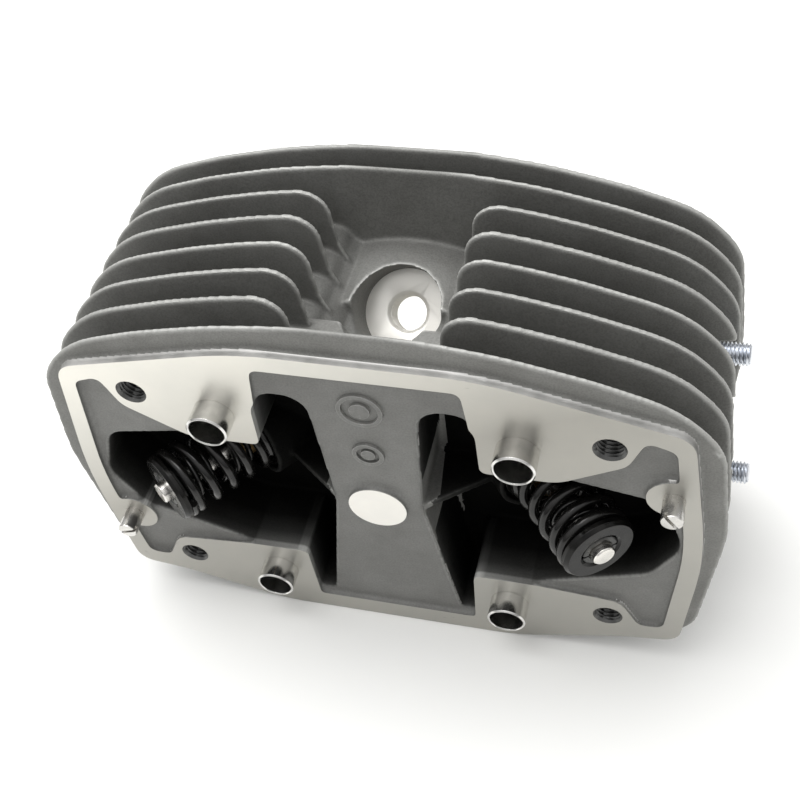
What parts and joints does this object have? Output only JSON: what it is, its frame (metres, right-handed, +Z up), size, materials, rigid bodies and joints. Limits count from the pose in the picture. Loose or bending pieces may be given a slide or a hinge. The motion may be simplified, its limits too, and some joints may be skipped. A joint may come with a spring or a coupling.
{
  "type": "cylinder head",
  "caption": "Air-cooled cylinder head with deep cooling fins, two inclined overhead valves, an open rocker box and an angled spark plug seat.",
  "frame": {"origin": "centre of the cylinder bore on the joint face, where the head meets the cylinder barrel", "axes": "+Y along the cylinder axis out of the joint face towards the barrel, +Z up on the spark plug side, +X to the intake port; the rocker cover face looks to -Y"},
  "size_m": [0.239, 0.1059, 0.1568],
  "materials": {
    "cast_aluminium": "shot-blasted casting with milled faces",
    "valve_steel": "ground stem and tip",
    "seat_steel": "turned insert",
    "guide_bronze": "drawn bronze",
    "black_steel": "oiled black spring steel",
    "hard_steel": "blued steel",
    "polished_steel": "polished tube",
    "bright_steel": "bright turned steel",
    "zinc_steel": "zinc plated"
  },
  "bodies": {
    "head": {"head_casting": "cast_aluminium", "intake_valve_seat": "seat_steel", "intake_valve_guide": "guide_bronze", "intake_spring_washer": "black_steel", "intake_outer_spring": "black_steel", "intake_inner_spring": "black_steel", "exhaust_valve_seat": "seat_steel", "exhaust_valve_guide": "guide_bronze", "exhaust_spring_washer": "black_steel", "exhaust_outer_spring": "black_steel", "exhaust_inner_spring": "black_steel", "dowel_bush_upper_left": "polished_steel", "dowel_bush_upper_right": "polished_steel", "dowel_bush_lower_left": "polished_steel", "dowel_bush_lower_right": "polished_steel", "cover_stud_left": "bright_steel", "cover_stud_right": "bright_steel", "port_stud_upper": "zinc_steel", "port_stud_lower": "zinc_steel"},
    "intake_valve_set": {"intake_valve": "valve_steel", "intake_spring_retainer": "black_steel", "intake_collets": "hard_steel"},
    "exhaust_valve_set": {"exhaust_valve": "valve_steel", "exhaust_spring_retainer": "black_steel", "exhaust_collets": "hard_steel"}
  },
  "joints": [
    {"name": "intake_valve_lift", "type": "slide", "parent": "head", "child": "intake_valve_set", "axis": [-0.6157, 0.788, 0], "range_m": [0, 0.008], "stiffness_N_per_m": 22000, "springref_m": -0.009, "deforming": ["intake_outer_spring", "intake_inner_spring"]},
    {"name": "exhaust_valve_lift", "type": "slide", "parent": "head", "child": "exhaust_valve_set", "axis": [0.6157, 0.788, 0], "range_m": [0, 0.008], "stiffness_N_per_m": 22000, "springref_m": -0.009, "deforming": ["exhaust_outer_spring", "exhaust_inner_spring"]}
  ]
}
